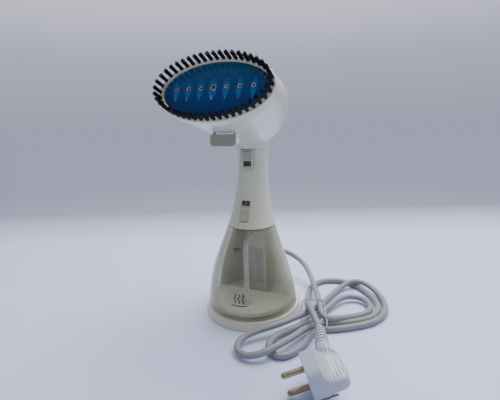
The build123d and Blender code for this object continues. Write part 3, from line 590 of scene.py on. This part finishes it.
# the sleeve where the cord leaves the base; its heights are distances behind the middle of the base
SLEEVE_RIBS, SLEEVE_PITCH, FIRST_SLEEVE_RIB = 4, 3.2, 44.8
SLEEVE_R, SLEEVE_TAPER = 5.7, 0.42           # radius of the first rib, and how much each next one loses
SLEEVE_DEPTH = 0.9
gland_profile = [(3.4, 40.0), (5.2, 40.1), (5.2, 42.6), (6.4, 42.9), (6.4, 44.2), (5.6, 44.5)]
for rib in range(SLEEVE_RIBS):
    start = FIRST_SLEEVE_RIB + rib * SLEEVE_PITCH
    outer = SLEEVE_R - SLEEVE_TAPER * rib
    gland_profile += [(outer - SLEEVE_DEPTH, start), (outer - SLEEVE_DEPTH, start + 0.7), (outer, start + 1.0),
                      (outer - 0.1, start + 2.7), (outer - SLEEVE_DEPTH, start + 3.1)]
gland_profile += [(3.9, 58.0), (3.7, 59.6), (3.3, 59.9)]
gland_height = CORD_EXIT[2]
gland = add_mesh("cord_sleeve", *lathe(gland_profile, SLEEVE_RING),
                 matrix=WORLD_MM @ along((0, 0, gland_height), (0, 1.0, gland_height)))
finish_piece(gland, "steamer", "cord_sheath")
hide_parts("cord_gland")

# ------------------------------------------------------------------ tie round the hank
TIE_LOOP = [
    (60.8, -4.0, 12.0), (61.6, -3.6, 17.0), (66.3, -1.6, 19.3), (72.5, 1.6, 18.6), (79.0, 5.0, 18.2),
    (83.6, 4.0, 17.2), (86.5, -3.0, 16.9), (89.5, -12.0, 16.6), (92.0, -22.0, 15.6), (94.4, -28.6, 9.0),
    (92.6, -30.0, 3.2), (86.0, -28.5, 1.6), (74.0, -24.0, 1.5), (64.0, -16.0, 1.6), (60.0, -8.0, 3.0),
    (60.0, -5.0, 7.0),
]
TIE_STEPS = 8
TIE_THICKNESS = 0.5
TIE_HALF_WIDTH = 1.1
loop = []
for i in range(len(TIE_LOOP)):
    p0, p1, p2, p3 = (Vector(TIE_LOOP[(i + k) % len(TIE_LOOP)]) for k in (-1, 0, 1, 2))
    for step in range(TIE_STEPS):
        t = step / TIE_STEPS
        loop.append(0.5 * ((2 * p1) + (p2 - p0) * t + (2 * p0 - 5 * p1 + 4 * p2 - p3) * t ** 2
                           + (3 * p1 - p0 - 3 * p2 + p3) * t ** 3))
middle = sum(loop, Vector()) / len(loop)
n = len(loop)
tie_points, tie_faces = [], []
for inset in (0.0, TIE_THICKNESS):
    for edge in (-TIE_HALF_WIDTH, TIE_HALF_WIDTH):
        for i, p in enumerate(loop):
            run = (loop[(i + 1) % n] - loop[i - 1]).normalized()
            inward = (middle - p) - run * (middle - p).dot(run)
            inward.normalize()
            tie_points.append(tuple(p + inward * inset + run.cross(inward) * edge))
for i in range(n):
    j = (i + 1) % n
    tie_faces += [(i, j, n + j, n + i), (2 * n + i, 3 * n + i, 3 * n + j, 2 * n + j),
                  (i, 2 * n + i, 2 * n + j, j), (n + i, n + j, 3 * n + j, 3 * n + i)]
tie = add_mesh("cord_band", tie_points, tie_faces, sharp_angle=50.0)
finish_piece(tie, "steamer", "tie_clear")
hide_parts("cord_tie")

# ------------------------------------------------------------------ cord
cord_curve = bpy.data.curves.new("mains_cord", "CURVE")
cord_curve.dimensions = "3D"
spline = cord_curve.splines.new("NURBS")
spline.points.add(len(CORD_ROUTE) - 1)
for point, (x, y, z) in zip(spline.points, CORD_ROUTE):
    point.co = (x * MM, y * MM, z * MM, 1.0)
spline.order_u = 3
spline.use_endpoint_u = True
spline.resolution_u = 6
cord_curve.bevel_depth = CORD_D * MM / 2
cord_curve.bevel_resolution = 5
cord_curve.use_fill_caps = True
cord = bpy.data.objects.new("mains_cord", cord_curve)
bpy.context.scene.collection.objects.link(cord)
finish_piece(cord, "steamer", "cord_sheath")
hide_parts("cord_fall", "cord_hank", "cord_lead")

# ------------------------------------------------------------------ steam plate
PLATE_A, PLATE_B = 51.9, 25.4                # half axes of the plate
PLATE_FOOT = 0.7                             # height of its outline over the face plane
PLATE_EDGE, PLATE_CROWN = 1.5, 1.25          # rise of its rounded edge, and of its middle over that
NOZZLE_PITCH = 12.6
NOZZLES = [(-3 * NOZZLE_PITCH + NOZZLE_PITCH * i, 1.2) for i in range(7)]
MIDDLE_NOZZLE = 3
DIMPLE_HALF_WIDTH, MIDDLE_HALF_WIDTH = 3.5, 4.5
DIMPLE_HALF_LENGTH = 13.0
DIMPLE_RISE = 1.0                            # of its middle over its nozzle
DIMPLE_DEPTH = 1.35
DIMPLE_EDGE = 0.84                           # reach at which the colour changes
PLATE_COLUMNS, PLATE_ROWS = 300, 160
PLATE_BACK = -1.4


def dimple_reach(index, x, y):
    """0 in the middle of a dimple, 1 on its pointed outline."""
    cx, cy = NOZZLES[index]
    half_width = MIDDLE_HALF_WIDTH if index == MIDDLE_NOZZLE else DIMPLE_HALF_WIDTH
    return abs(x - cx) / half_width + ((y - cy - DIMPLE_RISE) / DIMPLE_HALF_LENGTH) ** 2


def plate_height(x, y):
    """Height over the face plane: a crowned disc with pointed dimples round its nozzles."""
    s = math.sqrt((x / PLATE_A) ** 2 + (y / PLATE_B) ** 2)
    edge = PLATE_EDGE * (1 - smooth_step(0.955, 1.0, s))
    height = PLATE_FOOT + edge + PLATE_CROWN * (1 - min(1.0, s) ** 2.2)
    for index in range(len(NOZZLES)):
        height -= DIMPLE_DEPTH * (1 - smooth_step(0.72, 1.04, dimple_reach(index, x, y)))
    return height


plate_points, plate_faces = [], []
for row in range(PLATE_ROWS + 1):
    v = 2 * row / PLATE_ROWS - 1
    for column in range(PLATE_COLUMNS + 1):
        u = 2 * column / PLATE_COLUMNS - 1
        x = PLATE_A * u * math.sqrt(1 - v * v / 2)
        y = PLATE_B * v * math.sqrt(1 - u * u / 2)
        plate_points.append((x, y, plate_height(x, y)))
across = PLATE_COLUMNS + 1
for row in range(PLATE_ROWS):
    for column in range(PLATE_COLUMNS):
        a = row * across + column
        plate_faces.append((a, a + 1, a + across + 1, a + across))
rim = (list(range(across)) + [(i + 1) * across + PLATE_COLUMNS for i in range(PLATE_ROWS)]
       + [PLATE_ROWS * across + i for i in reversed(range(PLATE_COLUMNS))]
       + [i * across for i in reversed(range(1, PLATE_ROWS))])
back = len(plate_points)
plate_points += [(plate_points[i][0], plate_points[i][1], PLATE_BACK) for i in rim]
for i in range(len(rim)):
    j = (i + 1) % len(rim)
    plate_faces.append((rim[i], rim[j], back + j, back + i))
plate_faces.append(tuple(back + i for i in range(len(rim))))
plate = add_mesh("steam_plate_skin", plate_points, plate_faces, matrix=FACE, sharp_angle=60.0)
finish_piece(plate, "steamer", "blue_plate")
plate.data.materials.append(MATERIALS["dimple_blue"])
to_face = FACE.inverted()
for polygon in plate.data.polygons:
    x, y, z = to_face @ polygon.center
    if z > 0.0 and min(dimple_reach(index, x, y) for index in range(len(NOZZLES))) < DIMPLE_EDGE:
        polygon.material_index = 1
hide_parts("steam_plate")

# nozzle eyelets, with black discs of painted shade in their bores
MIDDLE_GROW = 1.5
EYELET_PROFILE = [(2.0, -0.6), (2.1, 0.25), (1.9, 0.7), (1.55, 0.8), (1.25, 0.6), (1.12, 0.1), (1.1, -0.5)]
# the bore discs are painted shade: flat black discs on the plate inside each eyelet, standing for the dark of
# the hole
BORE_SHADE_PROFILE = [(1.3, 0.02), (0.9, 0.06), (0.2, 0.08)]
eyelet_parts, bore_shade_parts = [], []
for index, (cx, cy) in enumerate(NOZZLES):
    grow = MIDDLE_GROW if index == MIDDLE_NOZZLE else 1.0
    seat = Matrix.Translation((cx, cy, plate_height(cx, cy)))
    ring_points, ring_faces = lathe([(radius * grow, height) for radius, height in EYELET_PROFILE], 36)
    eyelet_parts.append((ring_points, ring_faces[:-2], seat))      # both ends open
    bore_shade_parts.append((*lathe([(radius * grow, height) for radius, height in BORE_SHADE_PROFILE], 24), seat))
eyelets = add_mesh("nozzle_rings", *join(eyelet_parts), matrix=FACE)
finish_piece(eyelets, "steamer", "eyelet_metal")
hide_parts("nozzle_eyelets")
bore_shade = add_mesh("nozzle_bore_shade", *join(bore_shade_parts), matrix=FACE)
finish_piece(bore_shade, "steamer", "seal_rubber")

# ------------------------------------------------------------------ floor of the water tank
DECK_RING = 80
TANK_FLOOR_Y = -1.5
TANK_FLOOR_BACK = 5.3
# share of the outline, height
TANK_FLOOR_ROWS = [(0.99, 11.5), (0.998, 12.6), (0.992, 15.5), (0.978, 15.6), (0.965, 13.4), (0.93, 12.3),
                   (0.88, 12.0)]
floor_ring = [(46.9 * math.cos(t), min(TANK_FLOOR_BACK, TANK_FLOOR_Y + 49.0 * math.sin(t)))
              for t in turns(DECK_RING)]
tank_floor_points = [(x * share, (y - TANK_FLOOR_Y) * share + TANK_FLOOR_Y, z)
                     for share, z in TANK_FLOOR_ROWS for x, y in floor_ring]
tank_floor = add_mesh("tank_floor", tank_floor_points, loft_faces(len(TANK_FLOOR_ROWS), DECK_RING))
finish_piece(tank_floor, "tank", "tank_clear", MATERIALS["tank_floor"])

# deck of the base behind the tank, on both sides of the cable duct
DECK_FRONT = 8.6
DECK_MIDDLE = 9.0
DECK_ROWS = [(0.99, 8.9), (1.0, 9.4), (0.99, 11.2), (0.975, 11.6), (0.95, 11.6)]
deck_ring = [(47.5 * math.cos(t), max(DECK_FRONT, -1.6 + 48.0 * math.sin(t))) for t in turns(DECK_RING)]
deck_points = [(x * share, DECK_MIDDLE + (y - DECK_MIDDLE) * share, z)
               for share, z in DECK_ROWS for x, y in deck_ring]
rear_deck = add_mesh("rear_deck", deck_points, loft_faces(len(DECK_ROWS), DECK_RING))
finish_piece(rear_deck, "steamer", "base_plastic", MATERIALS["tank_floor"])

# ------------------------------------------------------------------ marks on the tank's front
# sections of the tank: height, half width, half depth, y of the middle
TANK_ROWS = [(8.0, 51.9, 54.4, -0.6), (20.0, 50.8, 52.0, -3.0), (45.0, 46.3, 47.0, -5.0),
             (70.0, 38.6, 39.4, -5.0), (92.0, 30.5, 31.0, -2.8), (110.0, 25.0, 24.2, 0.3)]
RAY_START = 20.0                             # in front of the section
MARK_BASE, MARK_THICKNESS = 0.06, 0.12

tank_mesh = frame["nodes"]["water_tank"].data
TANK_SURFACE = BVHTree.FromPolygons([v.co for v in tank_mesh.vertices],
                                    [tuple(p.vertices) for p in tank_mesh.polygons])


def on_tank(arc, z, out):
    """Point that lies arc mm round the tank's front from its middle, and out mm in front of its surface."""
    for low, high in zip(TANK_ROWS, TANK_ROWS[1:]):
        if z <= high[0]:
            break
    share = (z - low[0]) / (high[0] - low[0])
    a, b, y = (low[k] + (high[k] - low[k]) * share for k in (1, 2, 3))
    angle = arc / b
    start = Vector(((a + RAY_START) * math.sin(angle), y - (b + RAY_START) * math.cos(angle), z)) * MM
    inward = Vector((-math.sin(angle), math.cos(angle), 0.0))
    hit = TANK_SURFACE.ray_cast(start, inward)[0]
    return tuple((hit - inward * (out * MM)) / MM)


def mark_strip(path, half_width):
    """Thin raised print line along a path of (arc, height) on the tank."""
    rows, faces = [], []
    for i, (arc, z) in enumerate(path):
        run = path_direction(path, i)
        side = Vector((-run.y, run.x)) * half_width
        for out in (MARK_BASE, MARK_BASE + MARK_THICKNESS):
            rows.append(on_tank(arc + side.x, z + side.y, out))
            rows.append(on_tank(arc - side.x, z - side.y, out))
    for i in range(len(path) - 1):
        a, b = 4 * i, 4 * i + 4
        faces += [(a, b, b + 1, a + 1), (a + 2, a + 3, b + 3, b + 2), (a, a + 2, b + 2, b),
                  (a + 1, b + 1, b + 3, a + 3)]
    last = 4 * (len(path) - 1)
    faces += [(0, 1, 3, 2), (last, last + 2, last + 3, last + 1)]
    return rows, faces, None


# two level lines, then three wisps of steam over a curved line
STROKE = range(17)
marks = [mark_strip([(-7.0 + 1.1 * i, 84.4) for i in range(9)], 0.5),
         mark_strip([(-5.4 + 1.0 * i, 82.0) for i in range(7)], 0.4)]
for wisp in (-1, 0, 1):
    path = [(5.6 + 4.4 * wisp + 0.95 * math.sin(i * 0.62), 29.5 + 0.62 * i) for i in STROKE]
    marks.append(mark_strip(path, 0.62))
marks.append(mark_strip([(-3.6 + 1.15 * i, 26.6 + 0.012 * (i - 8) ** 2) for i in STROKE], 0.55))
tank_marks = add_mesh("tank_marks", *join(marks))
finish_piece(tank_marks, "tank", "seal_rubber")

# ------------------------------------------------------------------ rim of the switch frame
RIM_LOW = 165.8
RIM_CORNER = 4.9
RIM_HALF = 7.4
RIM_HEIGHTS = (189.0, 182.0, 176.0, RIM_LOW + RIM_CORNER)
RIM_STEPS = 24                               # of the half turn round the bottom
RIM_SIDES = 12


def rim_tube(inset, face_y, radius):
    """U-shaped bead round the switch frame, inset from the frame's edge."""
    half, corner = RIM_HALF - inset, RIM_CORNER - inset
    path = [(-half, z) for z in RIM_HEIGHTS]
    for step in range(1, RIM_STEPS):
        turn = math.radians(180.0 / RIM_STEPS * step)
        side = -1 if step < RIM_STEPS / 2 else 1
        path.append((side * (half - corner) - corner * math.cos(turn),
                     RIM_LOW + RIM_CORNER - corner * math.sin(turn)))
    path += [(half, z) for z in reversed(RIM_HEIGHTS)]
    points = []
    for i, (x, z) in enumerate(path):
        run = path_direction(path, i)
        points += [(x - run.y * radius * math.cos(angle), face_y + radius * math.sin(angle),
                    z + run.x * radius * math.cos(angle)) for angle in turns(RIM_SIDES)]
    return points, loft_faces(len(path), RIM_SIDES)


for name, slot, bead in (("switch_rim", "base_plastic", (0.75, -9.85, 0.5)),
                         ("switch_seam", "tab_plastic", (-0.1, -9.6, 0.34))):
    finish_piece(add_mesh(name, *rim_tube(*bead)), "steamer", slot)

# ------------------------------------------------------------------ bristle tufts
TUFTS = 44
TUFT_A, TUFT_B = 55.0, 28.5                  # half axes of the ring they stand on
TUFT_R = 1.45
FIBRES = 34
FIBRE_FOOT = 2.4
FIBRE_LENGTH = 11.3
LENGTH_SPREAD, TURN_SPREAD, LEAN_SPREAD = 0.6, 0.4, 0.2   # random parts of a fibre's length, turn and lean
TUFT_DOME = 0.45                             # how much shorter the outer fibres are
FIBRE_LEAN = 0.32                            # how far the tips of a tuft splay, as a share of its radius
FIBRE_SECTIONS = [(0.0, 0.21), (0.6, 0.2), (0.93, 0.16), (1.0, 0.07)]      # share of the length, half width
GOLDEN_ANGLE = 2.39996
OUTLINE_STEPS = 3600
random.seed(11)

# the tufts stand at even distances along the oval
outline = [(TUFT_A * math.cos(t), TUFT_B * math.sin(t)) for t in turns(OUTLINE_STEPS)]
lengths = [0.0]
for i in range(OUTLINE_STEPS):
    x0, y0 = outline[i]
    x1, y1 = outline[(i + 1) % OUTLINE_STEPS]
    lengths.append(lengths[-1] + math.hypot(x1 - x0, y1 - y0))
tuft_places = []
for i in range(OUTLINE_STEPS):
    if len(tuft_places) < TUFTS and lengths[i] >= lengths[-1] * len(tuft_places) / TUFTS:
        tuft_places.append(outline[i])

tuft_points, tuft_faces = [], []
for tx, ty in tuft_places:
    for fibre in range(FIBRES):
        radius = TUFT_R * math.sqrt((fibre + 0.5) / FIBRES)
        angle = GOLDEN_ANGLE * fibre + random.random() * TURN_SPREAD
        fx, fy = radius * math.cos(angle), radius * math.sin(angle)
        length = FIBRE_LENGTH + random.random() * LENGTH_SPREAD - TUFT_DOME * (radius / TUFT_R) ** 2
        lean_x = fx * FIBRE_LEAN + random.uniform(-LEAN_SPREAD, LEAN_SPREAD)
        lean_y = fy * FIBRE_LEAN + random.uniform(-LEAN_SPREAD, LEAN_SPREAD)
        first = len(tuft_points)
        for share, width in FIBRE_SECTIONS:
            for corner in range(4):
                turned = math.pi / 2 * corner + angle
                bend = share * share
                tuft_points.append((tx + fx + lean_x * bend + width * math.cos(turned),
                                    ty + fy + lean_y * bend + width * math.sin(turned),
                                    FIBRE_FOOT + length * share))
        tuft_faces += loft_faces(len(FIBRE_SECTIONS), 4, first)
tufts = add_mesh("bristle_fibres", tuft_points, tuft_faces, matrix=FACE, smooth=False)
finish_piece(tufts, "brush", "bristle")
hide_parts("bristle_tufts")

# ------------------------------------------------------------------ floor, fading out behind the object
FLOOR_HALF = 3.0
FADE_START, FADE_END = 0.24, 0.46            # metres from the origin, along the camera's heading
floor_points = [(-FLOOR_HALF, -FLOOR_HALF, 0), (FLOOR_HALF, -FLOOR_HALF, 0), (FLOOR_HALF, FLOOR_HALF, 0),
                (-FLOOR_HALF, FLOOR_HALF, 0)]
floor = add_mesh("floor", floor_points, [(0, 1, 2, 3)], matrix=Matrix.Identity(4), smooth=False)
floor_material, floor_graph = new_material("floor")
grit = floor_graph.noise(6.0, 5.0, 0.6)
ahead = floor_graph.reach((-math.sin(HEADING), math.cos(HEADING), 0.0))
floor_graph.set(Base_Color=floor_graph.tones(grit, (0.59, 0.635, 0.90), (0.62, 0.665, 0.93)),
                Roughness=floor_graph.spread(grit, 0.5, 0.6),
                Normal=floor_graph.bump(floor_graph.noise(900.0), 0.05, 0.0004),
                Alpha=floor_graph.remap(ahead, FADE_START, FADE_END, 1.0, 0.0))
floor.data.materials.append(floor_material)

# ------------------------------------------------------------------ world and lights
# colours from straight down, at 0, to straight up, at 1
WORLD_STOPS = [(0.0, (0.80, 0.86, 1.20)), (0.32, (0.80, 0.86, 1.20)), (0.348, (0.575, 0.66, 0.92)),
               (0.368, (0.49, 0.55, 0.74)), (0.418, (0.40, 0.42, 0.56)), (0.502, (0.40, 0.41, 0.55)),
               (0.581, (0.50, 0.51, 0.67)), (0.638, (0.76, 0.76, 0.93)), (0.75, (1.0, 1.0, 1.1)),
               (1.0, (1.2, 1.2, 1.25))]
BRIGHT_SIDE = math.radians(12.0)             # right of +Y; the room is darkest on the opposite side
DARKEST = 0.20

world = bpy.data.worlds.new("studio")
bpy.context.scene.world = world
world.use_nodes = True
room = Graph(world.node_tree, "Background", "Generated")
room_colour = room.ramp(room.remap(room.coordinate("Z"), -1.0, 1.0, 0.0, 1.0), WORLD_STOPS)
facing = room.reach((math.sin(BRIGHT_SIDE), math.cos(BRIGHT_SIDE), 0.0))
shaded = room.node("ShaderNodeVectorMath", operation="SCALE")
room.link(room_colour, shaded.inputs[0])
room.link(room.remap(facing, -0.6, 0.35, DARKEST, 1.0), shaded.inputs["Scale"])
room.set(Color=shaded.outputs["Vector"], Strength=1.0)


def area_light(name, location, target, width, height, power):
    """Rectangular soft light that faces a point."""
    data = bpy.data.lights.new(name, "AREA")
    data.shape = "RECTANGLE"
    data.size = width
    data.size_y = height
    data.energy = power
    light = bpy.data.objects.new(name, data)
    light.location = location
    light.rotation_euler = (Vector(target) - Vector(location)).to_track_quat("-Z", "Y").to_euler()
    bpy.context.scene.collection.objects.link(light)


# one large light overhead, and narrow upright ones round the camera that draw thin highlights
STRIP_DISTANCE, STRIP_HEIGHT = 1.3, 0.75
STRIP_WIDTH, STRIP_LENGTH, STRIP_POWER = 0.035, 1.1, 0.6
area_light("overhead", (0.12, 0.50, 1.25), (0.02, 0.12, 0.0), 1.2, 0.9, 24.0)
for name, offset in (("strip_far_left", -30.0), ("strip_left", -14.0), ("strip_right", 11.0)):
    angle = HEADING + math.radians(offset)
    location = (STRIP_DISTANCE * math.sin(angle), -STRIP_DISTANCE * math.cos(angle), STRIP_HEIGHT)
    area_light(name, location, (0, 0, 0.15), STRIP_WIDTH, STRIP_LENGTH, STRIP_POWER)
